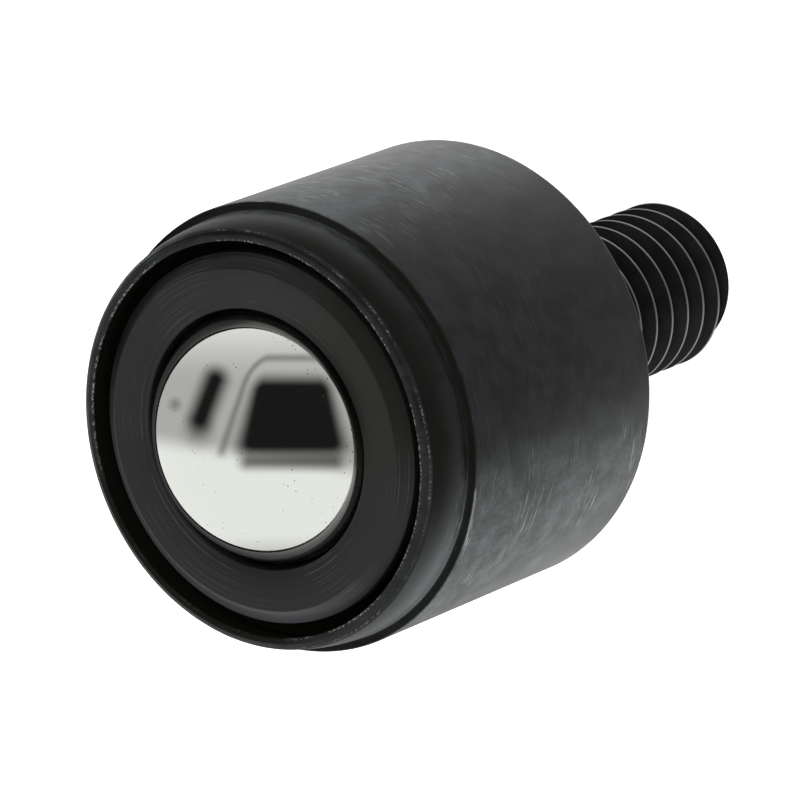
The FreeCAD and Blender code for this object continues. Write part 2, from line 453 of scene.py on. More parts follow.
@dataclass(frozen=True)
class Studio:
    """The pale floor and the soft lamps. Lengths are in millimetres."""

    floor_size: float = 600.0
    floor_colour: str = "#f4f4f4"
    floor_lift: float = 0.35
    lamp_size: float = 400.0
    lamp_distance: float = 500.0
    lamp_watts: float = 3.0
    lamp_directions: tuple[tuple[float, float, float], ...] = (
        (0.6, -0.3, 1.0), (-0.5, -0.6, 0.9))

    def lay_floor(self, height: float) -> Piece:
        """Lay the floor at the height that the castor stands on.

        Args:
            height: The castor's lowest point, in metres.

        Returns:
            The floor.
        """
        bpy.ops.mesh.primitive_plane_add(size=self.floor_size * MM, location=(0, 0, height))
        floor = bpy.context.object
        floor.name = "floor"
        floor.visible_glossy = False
        material = bpy.data.materials.new("pale_paper")
        material.use_nodes = True
        tree = material.node_tree
        tree.nodes.clear()
        paper = add_node(tree, "BsdfDiffuse", {"Color": linear(self.floor_colour)})
        seen = add_node(tree, "LightPath").outputs["Is Camera Ray"]
        strength = calc("MULTIPLY", seen, self.floor_lift)
        lift = add_node(tree, "Emission", {"Strength": strength})
        both = add_node(tree, "AddShader", {0: paper.outputs[0], 1: lift.outputs[0]})
        add_node(tree, "OutputMaterial", {"Surface": both.outputs[0]})
        floor.data.materials.append(material)
        return floor

    def hang_lamps(self) -> None:
        """Hang the soft lamps. The steel doesn't reflect them, so only the world shows in it."""
        for number, direction in enumerate(self.lamp_directions):
            away = Vector(direction).normalized()
            data = bpy.data.lights.new(f"soft_lamp_{number}", "AREA")
            data.size = self.lamp_size * MM
            data.energy = self.lamp_watts
            lamp = bpy.data.objects.new(data.name, data)
            lamp.location = away * self.lamp_distance * MM
            lamp.rotation_euler = away.to_track_quat("Z", "Y").to_euler()
            lamp.visible_glossy = False
            bpy.context.scene.collection.objects.link(lamp)


@dataclass(frozen=True)
class Corner:
    """A corner of a turned piece's half section, in millimetres."""

    radius: float
    height: float
    rounding: float = 0.0


def near(corner: Corner) -> Callable[[Vector], bool]:
    """Return a test for points that lie on a corner before the piece is turned."""
    spot = Vector((corner.radius, 0, corner.height)) * MM
    return lambda point: (point - spot).length < WELD


def select_points(piece: Piece, wanted: Callable[[Vector], bool]) -> None:
    """Select the points of a piece that pass a test, and nothing else.

    Args:
        piece: A mesh object in object mode.
        wanted: The test, on a point's place.
    """
    for face in piece.data.polygons:
        face.select = False
    for edge in piece.data.edges:
        edge.select = False
    for point in piece.data.vertices:
        point.select = wanted(point.co)


def start_profile(name: str) -> Piece:
    """Start a mesh of a single point at the origin and leave it in edit mode.

    Args:
        name: The object's name.

    Returns:
        The new object, selected alone.
    """
    bpy.ops.object.select_all(action="DESELECT")
    bpy.ops.mesh.primitive_plane_add(size=MM)
    piece = bpy.context.object
    piece.name = piece.data.name = name
    bpy.ops.object.mode_set(mode="EDIT")
    bpy.ops.mesh.select_mode(type="VERT")
    bpy.ops.mesh.select_all(action="SELECT")
    bpy.ops.mesh.merge(type="CENTER")
    return piece


def draw_profile(name: str, corners: list[Corner], closed: bool) -> Piece:
    """Draw a half section from corner to corner and round its corners.

    Args:
        name: The object's name.
        corners: The corners in order, the first and last on the axis unless closed.
        closed: Whether the last corner joins the first.

    Returns:
        The profile, in object mode.
    """
    piece = start_profile(name)
    route = [Vector((corner.radius, 0, corner.height)) * MM for corner in corners]
    bpy.ops.transform.translate(value=route[0])
    reached = route[0]
    for spot in route[1:] + (route[:1] if closed else []):
        bpy.ops.mesh.extrude_region_move(TRANSFORM_OT_translate={"value": spot - reached})
        reached = spot
    bpy.ops.mesh.select_all(action="SELECT")
    bpy.ops.mesh.remove_doubles(threshold=WELD)
    for corner in corners:
        if corner.rounding:
            bpy.ops.object.mode_set(mode="OBJECT")
            select_points(piece, near(corner))
            bpy.ops.object.mode_set(mode="EDIT")
            bpy.ops.mesh.bevel(offset=corner.rounding * MM, segments=ROUNDING_STEPS,
                               affect="VERTICES")
    bpy.ops.object.mode_set(mode="OBJECT")
    return piece


def turn_piece(name: str, corners: list[Corner], closed: bool = False) -> Piece:
    """Turn a piece on the lathe: spin its half section once round the Z axis.

    Args:
        name: The object's name.
        corners: The corners of the half section.
        closed: Whether the section stands clear of the axis all round.

    Returns:
        The finished mesh object.
    """
    piece = draw_profile(name, corners, closed)
    bpy.ops.object.mode_set(mode="EDIT")
    bpy.ops.mesh.select_all(action="SELECT")
    bpy.ops.mesh.spin(steps=TURN_STEPS, angle=2 * math.pi, center=(0, 0, 0), axis=(0, 0, 1))
    close_skin()
    return smooth(piece)


def close_skin() -> None:
    """Weld the seams of the mesh in edit mode, turn its faces outwards and leave edit mode."""
    bpy.ops.mesh.select_all(action="SELECT")
    bpy.ops.mesh.remove_doubles(threshold=WELD)
    bpy.ops.mesh.normals_make_consistent(inside=False)
    bpy.ops.object.mode_set(mode="OBJECT")


def smooth(piece: Piece, angle: float = 30.0) -> Piece:
    """Shade a piece smooth over edges flatter than an angle in degrees, and return it."""
    bpy.ops.object.select_all(action="DESELECT")
    piece.select_set(True)
    bpy.context.view_layer.objects.active = piece
    bpy.ops.object.shade_smooth_by_angle(angle=math.radians(angle))
    return piece


def apply_modifier(piece: Piece, kind: str, **settings: Any) -> None:
    """Add a modifier with its settings and apply it.

    Args:
        piece: The object, which becomes the active one.
        kind: The modifier's type.
        **settings: Its properties.
    """
    bpy.context.view_layer.objects.active = piece
    modifier = piece.modifiers.new(kind.title(), kind)
    for name, value in settings.items():
        setattr(modifier, name, value)
    bpy.ops.object.modifier_apply(modifier=modifier.name)


def new_material(name: str) -> tuple[bpy.types.Material, Tree]:
    """Make an empty node material and return it with its tree."""
    material = bpy.data.materials.new(name)
    material.use_nodes = True
    material.node_tree.nodes.clear()
    return material, material.node_tree


def places_in_mm(tree: Tree) -> Socket:
    """Return the socket that gives each point's place on the piece in millimetres."""
    spot = add_node(tree, "TexCoord").outputs["Object"]
    feeds = {0: spot, "Scale": 1 / MM}
    return add_node(tree, "VectorMath", feeds, operation="SCALE").outputs[0]


def noise(spot: Socket, size: float, detail: float = 2.0) -> Socket:
    """Return a cloudy pattern from 0 to 1 whose clouds are about size millimetres wide."""
    feeds = {"Vector": spot, "Scale": 1 / size, "Detail": detail}
    return add_node(spot.id_data, "TexNoise", feeds).outputs[0]


@dataclass(frozen=True)
class Round:
    """Coordinates round the Z axis for the patterns on a turned piece."""

    tree: Tree
    radius: Socket
    height: Socket
    angle: Socket
    spot: Socket

    @classmethod
    def of(cls, tree: Tree) -> "Round":
        """Add the nodes that give a point's radius, height and angle.

        Args:
            tree: The material's node tree.

        Returns:
            The sockets. The angle is 0 towards -Y and its seam is at +Y.
        """
        spot = places_in_mm(tree)
        split = add_node(tree, "SeparateXYZ", {0: spot})
        across, depth, height = split.outputs
        flat = add_node(tree, "CombineXYZ", {0: across, 1: depth}).outputs[0]
        radius = add_node(tree, "VectorMath", {0: flat}, operation="LENGTH").outputs["Value"]
        angle = calc("ARCTAN2", across, product(depth, -1.0))
        return cls(tree, radius, height, angle, spot)

    def window(self, middle: float, half: float, soft: float) -> Socket:
        """Return 1 inside a sector of the piece and 0 outside it.

        Args:
            middle: The sector's middle, in degrees from -Y towards +X.
            half: Half its width in degrees.
            soft: Width of its blurred edge in degrees.

        Returns:
            The socket that gives the share.
        """
        turned = calc("SUBTRACT", self.angle, math.radians(middle))
        off = calc("ABSOLUTE", calc("WRAP", turned, math.pi, -math.pi))
        return fade(off, math.radians(half - soft), math.radians(half + soft),
                    1.0, 0.0)


@dataclass(frozen=True)
class BlackOxide:
    """Turned mild steel, hot blackened and oiled: a near-black satin, scuffed greyer where it is handled, with fine
    scratches. The lighter grey also paints a highlight on the lip's front and on the neck, and the near-black
    colour paints shade where the housing asks for it. Sizes are millimetres and sectors degrees from -Y."""

    dark: str = "#0c0d0e"
    light: str = "#131416"
    # Lighter grey: scuffs on the side, and a painted highlight on the lip's front and on the neck.
    lightened: str = "#54585a"
    scratch: str = "#9a9e9e"
    bright: str = "#8c8e8b"
    # Near-black: painted shade on the housing, its dark line and ticks round the lip, and the stud's darker thread
    # roots.
    darkening: str = "#0d0e0a"
    roughness: float = 0.36
    gloss: float = 0.25
    side_top: float = 10.85
    side_fade: float = 0.7
    lip_bottom: float = 12.25
    patch: float = 3.0
    cloud: float = 0.9
    grain: float = 0.13
    scratch_width: float = 0.045
    scratch_length: float = 1.5
    scratch_angles: tuple[float, ...] = (68.0, 96.0, 124.0)
    scratch_shift: tuple[float, float] = (7.3, 3.1)
    scratch_steps: Steps = (0.66, 0.74)
    scratch_field: float = 2.2
    field_steps: Steps = (0.46, 0.6)
    scratch_share: float = 0.85
    stray_share: float = 0.03
    cloud_steps: Steps = (0.4, 0.6)
    cloud_wear: Steps = (0.3, 0.7, 0.45, 0.95)
    grain_wear: Steps = (0.35, 0.65, 0.6, 1.0)
    patch_wear: Steps = (0.38, 0.55, 0.75, 1.0)
    uneven: float = 0.12
    relief: float = 0.003
    worn_sector: Sector = (-76.0, 40.0, 16.0)
    scuffed_sector: Sector = (76.0, 30.0, 18.0)
    scuffed_share: float = 0.62
    # Painted highlight on the lip's front: its sector and its band out from the lip's flat.
    lip_highlight_sector: Sector = (130.0, 36.0, 18.0)
    lip_flat: float = 7.18
    lip_highlight_band: Steps = (0.0, 0.04, 0.0, 0.8)
    # Painted highlight on the neck: its sector, its foot, where it is full and how much is left at the top.
    neck_highlight_sector: Sector = (-75.0, 32.0, 18.0)
    neck_foot: float = 10.57
    neck_full: float = 0.2
    neck_top_share: float = 0.45
    blur: float = 0.05

    def dress(self, name: str, edges: Callable[[Round], Socket],
              darkened_places: Callable[[Round], Socket]) -> bpy.types.Material:
        """Make the material.

        Args:
            name: The material's name.
            edges: Adds the nodes that say where bare steel shows bright on the edges.
            darkened_places: Adds the nodes that say where the near-black colour goes: painted shade, a dark line
                and ticks on the housing, and darker thread roots on the stud.

        Returns:
            The material.
        """
        material, tree = new_material(name)
        place = Round.of(tree)
        clouds = noise(place.spot, self.cloud, 5.0)
        grain = noise(place.spot, self.grain, 3.0)
        colour = blend(fade(clouds, *self.cloud_steps),
                       self.dark, self.light)
        # Scuffs on the side, and a painted highlight on the lip's front and on the neck.
        colour = blend(self.wear_and_highlight(place, clouds, grain), colour, self.lightened)
        colour = blend(self.scratches(place), colour, self.scratch)
        bare, darkness = edges(place), darkened_places(place)
        colour = blend(bare, colour, self.bright)
        # Painted shade, and the other dark places that the piece asks for.
        colour = blend(darkness, colour, self.darkening)
        gloss = calc("MULTIPLY_ADD", darkness, -self.gloss, self.gloss)
        lumpy = calc("SUBTRACT", grain, 0.5)
        roughness = calc("MULTIPLY_ADD", lumpy, self.uneven, self.roughness)
        bump = add_node(tree, "Bump", {"Height": grain, "Distance": self.relief * MM,
                                       "Strength": 1.0})
        shader = add_node(tree, "BsdfPrincipled", {
            "Base Color": colour, "Metallic": bare, "Roughness": roughness,
            "Specular IOR Level": gloss, "Normal": bump.outputs[0]})
        add_node(tree, "OutputMaterial", {"Surface": shader.outputs[0]})
        return material

    def wear_and_highlight(self, place: Round, clouds: Socket, grain: Socket) -> Socket:
        """Return how much lighter grey goes on: scuffs in two sectors of the side, and a painted highlight on the
        lip's front and on the neck, each in one sector.

        Args:
            place: The coordinates.
            clouds: The wide pattern.
            grain: The fine pattern that breaks it up.
        """
        height = place.height
        ragged = fade(noise(place.spot, self.patch, 4.0), *self.patch_wear)
        paler = product(place.window(*self.worn_sector), ragged)
        scuffed = product(place.window(*self.scuffed_sector), self.scuffed_share)
        side = product(largest(paler, scuffed), self.on_side(place))
        high = fade(height, 0.0, self.blur, edge=self.lip_bottom)
        # Painted highlight on the lip's front, in one sector.
        lip = product(place.window(*self.lip_highlight_sector), high,
                      fade(place.radius, *self.lip_highlight_band, edge=self.lip_flat))
        # Painted highlight on the neck above the shoulder, in one sector, weaker towards the lip.
        neck = product(place.window(*self.neck_highlight_sector),
                       fade(height, 0.0, self.blur, edge=self.neck_foot),
                       calc("SUBTRACT", 1.0, high),
                       fade(height, self.neck_foot + self.neck_full, self.lip_bottom,
                            1.0, self.neck_top_share))
        mottled = product(fade(clouds, *self.cloud_wear),
                          fade(grain, *self.grain_wear))
        return largest(product(largest(side, lip), mottled), neck)

    def on_side(self, place: Round) -> Socket:
        """Return 1 on the body's broad side, less up the neck and 0 on the lip and the stud."""
        below = fade(place.height, 0.0, self.side_fade, 1.0, 0.0, self.side_top)
        return product(below, fade(place.height, -self.blur, 0.0))

    def scratches(self, place: Round) -> Socket:
        """Return how much of a scratch lies at each point of the unrolled side."""
        tree = place.tree
        way_round = product(place.angle, place.radius)
        unrolled = add_node(tree, "CombineXYZ", {0: way_round, 1: place.height}).outputs[0]
        marks = 0.0
        for number, angle in enumerate(self.scratch_angles):
            turned = add_node(tree, "Mapping", {
                "Vector": unrolled,
                "Location": (*(shift * number for shift in self.scratch_shift), 0),
                "Rotation": (0, 0, math.radians(angle)),
                "Scale": (1 / self.scratch_length, 1 / self.scratch_width, 1.0)})
            feeds = {"Vector": turned.outputs[0], "Scale": 1.0, "Detail": 1.0}
            streaks = add_node(tree, "TexNoise", feeds).outputs[0]
            marks = largest(fade(streaks, *self.scratch_steps), marks)
        zones = largest(place.window(*self.worn_sector),
                        place.window(*self.scuffed_sector))
        gathered = fade(noise(place.spot, self.scratch_field), *self.field_steps)
        share = product(zones, gathered, self.scratch_share)
        return product(marks, largest(share, self.stray_share),
                       self.on_side(place))


@dataclass
class Housing:
    """The turned housing with its shoulder, its rolled-in lip and its threaded stud.

    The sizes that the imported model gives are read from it, and the others are millimetres.
    """

    neck_step: float = 0.32
    neck_height: float = 1.9
    neck_root: float = 0.12
    lip_roll: float = 0.23
    lip_width: float = 0.45
    lip_bevel_width: float = 0.22
    lip_bevel_depth: float = 0.12
    lip_edge: float = 0.05
    bore_radius: float = 7.2525
    bore_floor: float = 2.85
    flange_top: float = 10.9725
    rear_edge: float = 0.25
    shoulder_edge: float = 0.07
    arc_points: int = 12
    # Bare steel on the lip's rims and on the shoulder's edge.
    speck: float = 0.08
    speck_steps: Steps = (0.5, 0.6)
    run: float = 1.6
    run_steps: Steps = (0.42, 0.56)
    front_wear: Steps = (-0.12, -0.04)
    rim_inset: float = 0.04
    rim_wear: Steps = (0.02, 0.06, 0.85, 0.0)
    ridge_drop: float = 0.03
    ridge_wear: Steps = (0.02, 0.06, 1.0, 0.0)
    ridge_band: Steps = (-0.08, -0.03)
    ridge_sector: Sector = (-37.5, 4.5, 1.5)
    # Painted shade on the shoulder's step, in the groove inside the lip, on the lip's front in one sector and up
    # the neck.
    step_inset: float = 0.17
    step_shade_height: Steps = (0.05, 0.12, 1.0, 0.0)
    step_shade_width: Steps = (0.12, 0.15, 0.92, 0.0)
    inside_shade: Steps = (0.3, 0.35, 1.0, 0.0)
    deep_shade: Steps = (-0.1, -0.02, 1.0, 0.0)
    flat_shade: Steps = (0.2, 0.25, 0.9, 0.0)
    front_shade: Steps = (-0.1, -0.05)
    shaded_sector: Sector = (-145.0, 48.0, 20.0)
    neck_shade_margins: tuple[float, float] = (0.05, 0.2)
    neck_shade: tuple[float, float] = (0.1, 0.85)
    neck_shade_outside: Steps = (-0.06, -0.03)
    highlit_neck_sector: Sector = (-75.0, 32.0, 18.0)
    highlit_neck_share: float = 0.4
    # A dark line round the lip's bevel in one sector, and dark ticks round the lip.
    dark_line_outset: float = 0.07
    dark_line_steps: Steps = (0.02, 0.06, 0.85, 0.0)
    dark_line_sector: Sector = (90.0, 75.0, 20.0)
    tick_spacing: float = 0.09
    tick_steps: Steps = (0.48, 0.66, 0.0, 0.45)
    tick_patch: float = 0.25
    tick_patch_steps: Steps = (0.42, 0.62, 0.2, 1.0)
    blur: float = 0.05
    radius: float = field(init=False)
    lip_height: float = field(init=False)

    def __post_init__(self) -> None:
        """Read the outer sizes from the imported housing."""
        _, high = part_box("housing")
        self.radius = high.x / MM
        self.lip_height = high.z / MM

    @property
    def shoulder_height(self) -> float:
        """Height of the shoulder above the face that seats."""
        return self.lip_height - self.neck_height

    @property
    def neck_radius(self) -> float:
        """Radius of the neck where it leaves the shoulder."""
        return self.radius - self.neck_step

    @property
    def lip_radius(self) -> float:
        """Outer radius of the lip's front."""
        return self.neck_radius - self.lip_roll

    @property
    def lip_inside(self) -> float:
        """Inner radius of the lip's front."""
        return self.lip_radius - self.lip_width

    @property
    def lip_edge_height(self) -> float:
        """Height of the lip's outer edge, which the rolling has pressed down."""
        return self.lip_height - self.lip_bevel_depth

    def neck_curve(self) -> list[Corner]:
        """Return the points of the neck's arc, upright at the shoulder and rolled in above."""
        rise = self.lip_edge_height - self.shoulder_height
        arc_radius = (rise ** 2 + self.lip_roll ** 2) / (2 * self.lip_roll)
        full = math.asin(rise / arc_radius)
        turns = [full * step / self.arc_points for step in range(1, self.arc_points)]
        return [Corner(self.neck_radius - arc_radius * (1 - math.cos(turn)),
                       self.shoulder_height + arc_radius * math.sin(turn)) for turn in turns]

    def build_shell(self) -> Piece:
        """Turn the housing without its stud."""
        return turn_piece("turned_housing", [
            Corner(0.0, 0.0),
            Corner(self.radius, 0.0, self.rear_edge),
            Corner(self.radius, self.shoulder_height, self.shoulder_edge),
            Corner(self.neck_radius, self.shoulder_height, self.neck_root),
            *self.neck_curve(),
            Corner(self.lip_radius, self.lip_edge_height, self.lip_edge),
            Corner(self.lip_radius - self.lip_bevel_width, self.lip_height, self.lip_edge),
            Corner(self.lip_inside, self.lip_height, self.lip_edge),
            Corner(self.bore_radius, self.flange_top),
            Corner(self.bore_radius, self.bore_floor),
            Corner(0.0, self.bore_floor),
        ])

    def worn_edges(self, place: Round) -> Socket:
        """Return how much bare steel shows, on the lip's rims and the shoulder's edge."""
        height, radius = place.height, place.radius
        specks = fade(noise(place.spot, self.speck, 3.0), *self.speck_steps)
        runs = fade(noise(place.spot, self.run), *self.run_steps)
        rims = [fade(apart(radius, rim), *self.rim_wear)
                for rim in (self.lip_radius - self.rim_inset, self.lip_inside + self.rim_inset)]
        lip = product(largest(*rims), specks, runs,
                      fade(height, *self.front_wear, edge=self.lip_height))
        off = apart(height, self.shoulder_height - self.ridge_drop)
        ridge = product(fade(off, *self.ridge_wear),
                        fade(radius, *self.ridge_band, edge=self.radius),
                        place.window(*self.ridge_sector))
        return largest(lip, ridge)

    def painted_shade_and_marks(self, place: Round) -> Socket:
        """Return the painted shade on the shoulder's step, in the groove inside the lip, on the lip's front in one
        sector and up the neck, with the dark line and ticks round the lip.
        """
        height, radius = place.height, place.radius
        # Painted shade on the shoulder's step, by the neck.
        band = apart(radius, self.radius - self.step_inset)
        step = product(fade(band, *self.step_shade_width),
                       fade(apart(height, self.shoulder_height),
                            *self.step_shade_height))
        # Painted shade in the groove inside the lip.
        groove = product(fade(radius, *self.inside_shade, edge=self.lip_inside),
                         fade(height, *self.deep_shade, edge=self.lip_height))
        # Painted shade on the lip's front by its inner edge, in one sector.
        front = product(fade(radius, *self.flat_shade, edge=self.lip_inside),
                        fade(height, *self.front_shade, edge=self.lip_height),
                        place.window(*self.shaded_sector))
        return largest(step, groove, front, self.dark_line_and_ticks(place),
                       self.shaded_neck(place))

    def dark_line_and_ticks(self, place: Round) -> Socket:
        """Return a dark line round the lip's bevel in one sector, and dark ticks round the lip."""
        tree = place.tree
        high = fade(place.height, -self.blur, 0.0, edge=self.lip_edge_height)
        seam = self.lip_radius - self.lip_bevel_width + self.dark_line_outset
        line = product(fade(apart(place.radius, seam), *self.dark_line_steps),
                       place.window(*self.dark_line_sector))
        way_round = product(place.angle, place.radius)
        feeds = {"W": calc("DIVIDE", way_round, self.tick_spacing), "Scale": 1.0}
        streaks = add_node(tree, "TexNoise", feeds, noise_dimensions="1D").outputs[0]
        patchy = fade(noise(place.spot, self.tick_patch, 3.0),
                      *self.tick_patch_steps)
        ticks = product(fade(streaks, *self.tick_steps), patchy)
        return product(high, largest(line, ticks))

    def shaded_neck(self, place: Round) -> Socket:
        """Return the painted shade on the neck, more towards the lip and less in the sector of the neck's painted
        highlight.
        """
        height = place.height
        above, below = self.neck_shade_margins
        rise = fade(height, self.shoulder_height + above, self.lip_edge_height - below,
                    *self.neck_shade)
        under = fade(height, -self.blur, 0.0, 1.0, 0.0, edge=self.lip_edge_height)
        over = fade(height, 0.0, 2 * self.blur, edge=self.shoulder_height)
        outside = fade(place.radius, *self.neck_shade_outside, edge=self.lip_radius)
        # Less painted shade in the sector of the neck's painted highlight.
        left = calc("MULTIPLY_ADD", place.window(*self.highlit_neck_sector),
                    -self.highlit_neck_share, 1.0)
        return product(rise, under, over, outside, left)

    def build(self) -> list[Piece]:
        """Build and dress the housing, and return the finished pieces."""
        shell = self.build_shell()
        shell.data.materials.append(BlackOxide().dress(
            "black_oxide_housing", self.worn_edges, self.painted_shade_and_marks))
        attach(shell, Body.HOUSING.value)
        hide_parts("housing")
        return [shell]


@dataclass
class Stud:
    """The stud's metric thread, cut on a turned blank. Sizes are millimetres."""

    pitch: float = 1.0
    crest: float = 0.07
    root: float = 0.25
    flank_angle: float = 30.0
    crest_height: float = -9.56
    crest_azimuth: float = 270.0
    end_edge: float = 0.12
    buried: float = 0.4
    overrun: float = 0.7
    turn_steps: int = 96
    radius: float = 3.0
    bare_crest: Steps = (-0.025, -0.01)
    dark_depth: float = 0.1
    dark_share: float = 0.8
    end: float = field(init=False)

    def __post_init__(self) -> None:
        """Read the stud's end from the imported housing."""
        low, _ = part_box("housing")
        self.end = low.z / MM

    @property
    def flank(self) -> float:
        """Height of one flank along the axis."""
        return (self.pitch - self.crest - self.root) / 2

    @property
    def core_radius(self) -> float:
        """Radius at the bottom of the thread."""
        return self.radius - self.flank / math.tan(math.radians(self.flank_angle))

    def cut_thread(self) -> Piece:
        """Wind one tooth's profile round the axis and close the ends.

        Returns:
            The threaded bar, a little longer than the stud at both ends.
        """
        lag = self.crest_azimuth / 360
        first = self.crest_height - self.crest / 2 - lag * self.pitch
        first -= math.ceil((first - self.end + self.overrun + self.pitch) / self.pitch) * self.pitch
        turns = math.ceil((self.buried + self.overrun - first) / self.pitch) + 1
        heights = [0, self.crest, self.crest + self.flank, self.pitch - self.flank, self.pitch]
        radii = [self.radius, self.radius, self.core_radius, self.core_radius, self.radius]
        corners = [Corner(radius, first + height) for radius, height in zip(radii, heights)]
        bar = draw_profile("thread", corners, closed=False)
        apply_modifier(bar, "SCREW", axis="Z", angle=2 * math.pi, screw_offset=self.pitch * MM,
                       iterations=turns, steps=self.turn_steps, render_steps=self.turn_steps,
                       use_merge_vertices=True, merge_threshold=WELD, use_smooth_shade=False)
        for height, side in ((self.end - self.overrun, -1), (self.buried + self.overrun, 1)):
            bpy.ops.object.mode_set(mode="EDIT")
            bpy.ops.mesh.select_all(action="SELECT")
            bpy.ops.mesh.bisect(plane_co=(0, 0, height * MM), plane_no=(0, 0, side),
                                clear_outer=True, use_fill=True)
            close_skin()
        return bar

    def build(self) -> list[Piece]:
        """Build and dress the stud, and return the finished pieces."""
        stud = turn_piece("threaded_stud", [
            Corner(0.0, self.end),
            Corner(self.radius, self.end, self.end_edge),
            Corner(self.radius, self.buried),
            Corner(0.0, self.buried),
        ])
        bar = self.cut_thread()
        apply_modifier(stud, "BOOLEAN", operation="INTERSECT", object=bar, solver="EXACT")
        bpy.data.objects.remove(bar)
        smooth(stud, 20.0)
        finish = BlackOxide(dark="#0b0b0c", light="#101011", bright="#8c8d8b", gloss=0.15)
        stud.data.materials.append(finish.dress(
            "black_oxide_thread", self.worn_crests, self.darker_roots))
        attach(stud, Body.HOUSING.value)
        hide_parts("housing")
        return [stud]

    def worn_crests(self, place: Round) -> Socket:
        """Return how much bare steel shows, which is on the crests of the thread."""
        return fade(place.radius, *self.bare_crest, edge=self.radius)

    def darker_roots(self, place: Round) -> Socket:
        """Return how much darker the thread is, more towards the bottom of the thread."""
        return fade(place.radius, self.core_radius, self.radius - self.dark_depth,
                    self.dark_share, 0.0)


@dataclass(frozen=True)
class BluedCap:
    """Fine-turned steel, chemically darkened: blue-black, with rings left by the tool that stretch its highlights,
    painted shade over its near side and in the groove round its side, and a painted highlight on one side of its
    bevel. Sizes are millimetres."""

    dark: str = "#0c0c0d"
    light: str = "#151516"
    ring: str = "#3c3d3e"
    # The colour of the bevel's painted highlight.
    paler: str = "#47484a"
    gloss: float = 0.3
    darkening: str = "#0d0e0a"
    roughness: float = 0.34
    stretch: float = 0.6
    tool_mark: float = 0.05
    mark_steps: Steps = (0.56, 0.72)
    mark_share: float = 0.45
    band: float = 0.3
    wander: float = 4.0
    patch: float = 2.5
    patch_steps: Steps = (0.42, 0.62)
    # Painted shade over the ring's near side: its sector and how much.
    shaded_sector: Sector = (8.0, 50.0, 35.0)
    near_shade_share: float = 0.6
    # Painted highlight on one side of the bevel: its sector and how much.
    bevel_highlight_sector: Sector = (-145.0, 60.0, 25.0)
    bevel_highlight_share: float = 0.5
    bevel_edge: Steps = (-0.02, 0.02)
    # Painted shade on the ring's side, lower down in the groove by the lip.
    groove_shade_side: Steps = (-0.03, -0.01)
    groove_shade_height: Steps = (-0.4, -0.25, 1.0, 0.0)
    uneven: float = 0.12
    relief: float = 0.003

    def dress(self, bevel_radius: float, rim_radius: float,
              rim_height: float) -> bpy.types.Material:
        """Make the material.

        Args:
            bevel_radius: Radius where the bevel starts, which gets a painted highlight on one side.
            rim_radius: Radius of the ring's side, which gets painted shade lower down, in the groove by the lip.
            rim_height: Height of the side's upper edge.

        Returns:
            The material.
        """
        material, tree = new_material("blued_cap")
        place = Round.of(tree)
        marks, bands = self.rings(place, self.tool_mark), self.rings(place, self.band)
        colour = blend(bands, self.dark, self.light)
        lines = product(fade(marks, *self.mark_steps), self.mark_share,
                        fade(noise(place.spot, self.patch), *self.patch_steps))
        colour = blend(lines, colour, self.ring)
        # Painted shade over the ring's near side.
        near_shade = product(place.window(*self.shaded_sector), self.near_shade_share)
        colour = blend(near_shade, colour, self.darkening)
        # Painted highlight on one side of the bevel.
        lightened = product(fade(place.radius, *self.bevel_edge, edge=bevel_radius),
                         place.window(*self.bevel_highlight_sector), self.bevel_highlight_share)
        colour = blend(lightened, colour, self.paler)
        # Painted shade on the ring's side in the groove by the lip, which also takes its gloss away.
        groove_shade = product(fade(place.radius, *self.groove_shade_side, edge=rim_radius),
                       fade(place.height, *self.groove_shade_height, edge=rim_height))
        colour = blend(groove_shade, colour, self.darkening)
        gloss = calc("MULTIPLY_ADD", groove_shade, -self.gloss, self.gloss)
        roughness = calc("MULTIPLY_ADD", marks, self.uneven,
                         self.roughness - self.uneven / 2)
        bump = add_node(tree, "Bump", {"Height": marks, "Distance": self.relief * MM})
        round_about = add_node(tree, "Tangent", direction_type="RADIAL", axis="Z")
        shader = add_node(tree, "BsdfPrincipled", {
            "Base Color": colour, "Roughness": roughness, "Anisotropic": self.stretch,
            "Specular IOR Level": gloss,
            "Tangent": round_about.outputs[0], "Normal": bump.outputs[0]})
        add_node(tree, "OutputMaterial", {"Surface": shader.outputs[0]})
        return material

    def rings(self, place: Round, width: float) -> Socket:
        """Return a pattern of rings about width millimetres apart, wandering a little."""
        tree = place.tree
        wander = product(noise(place.spot, self.wander), width)
        row = calc("ADD", place.radius, wander)
        feeds = {"W": calc("DIVIDE", row, width), "Scale": 1.0, "Detail": 1.0}
        return add_node(tree, "TexNoise", feeds, noise_dimensions="1D").outputs[0]


